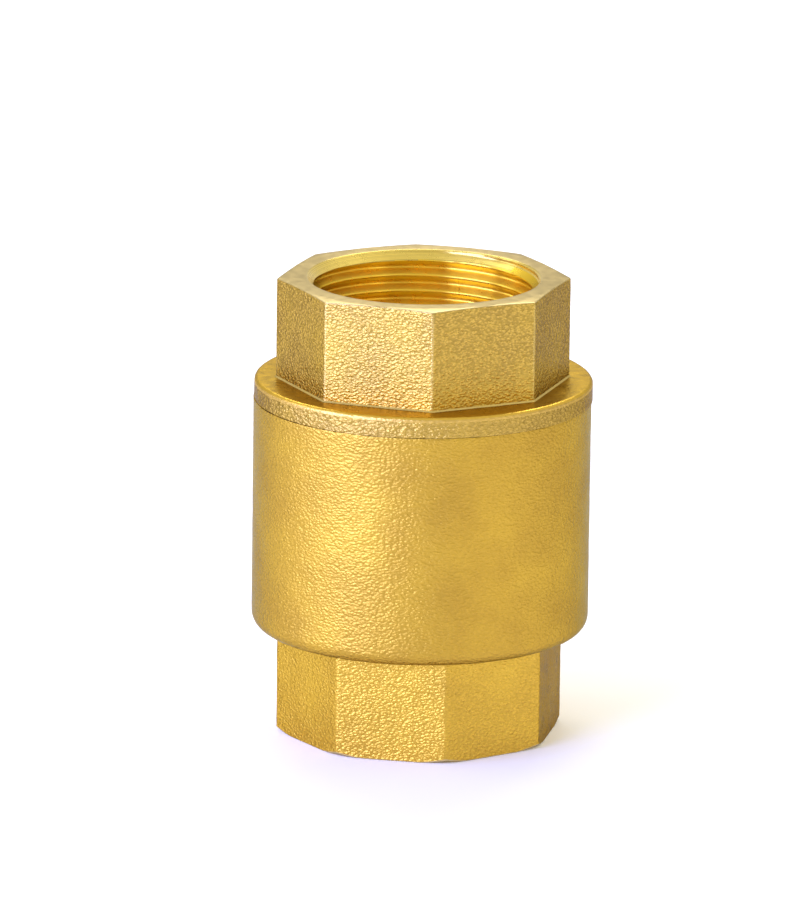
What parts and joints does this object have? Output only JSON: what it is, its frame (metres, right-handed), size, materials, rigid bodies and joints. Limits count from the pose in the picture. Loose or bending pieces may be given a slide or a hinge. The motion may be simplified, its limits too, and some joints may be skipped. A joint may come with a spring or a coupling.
{
  "type": "check valve",
  "caption": "Inline spring check valve in forged brass: internally threaded octagonal ends on a round barrel, with a spring-loaded guided poppet inside.",
  "frame": {"origin": "centre of the inlet end face, which is also the lowest plane of the valve", "axes": "+Z along the valve's axis in the direction of flow, towards the outlet; flats of the body's octagon face along X and Y"},
  "size_m": [0.0488, 0.0488, 0.0666],
  "materials": {
    "blasted_brass": "forged and shot-blasted, machined end faces and threads",
    "turned_brass": "fine turned",
    "stainless": "fine turned stainless steel",
    "spring_steel": "drawn stainless spring wire and strip",
    "nitrile": "moulded, satin black",
    "ptfe": "turned white PTFE"
  },
  "bodies": {
    "housing": {"inlet_body": "blasted_brass", "outlet_cap": "blasted_brass", "cap_o_ring": "nitrile", "lower_guide": "turned_brass", "lower_guide_bush": "ptfe", "lower_retaining_ring": "spring_steel", "upper_guide": "turned_brass", "upper_guide_bush": "ptfe", "upper_retaining_ring": "spring_steel", "return_spring": "spring_steel"},
    "spring_seat": {"spring_cup": "stainless"},
    "poppet": {"poppet_disc": "turned_brass", "disc_seal": "nitrile", "seal_retainer": "turned_brass", "poppet_stem": "stainless", "stem_lock_washer": "spring_steel", "stem_nut": "stainless", "stop_washer": "ptfe"}
  },
  "joints": [
    {"name": "poppet_lift", "type": "slide", "parent": "housing", "child": "spring_seat", "axis": [0, 0, 1], "range_m": [0, 0.0055], "stiffness_N_per_m": 700, "springref_m": -0.002, "deforming": ["return_spring"]},
    {"name": "poppet_turn", "type": "hinge", "parent": "spring_seat", "child": "poppet", "pos_m": [0, 0, 0.0276], "axis": [0, 0, 1], "continuous": true}
  ]
}
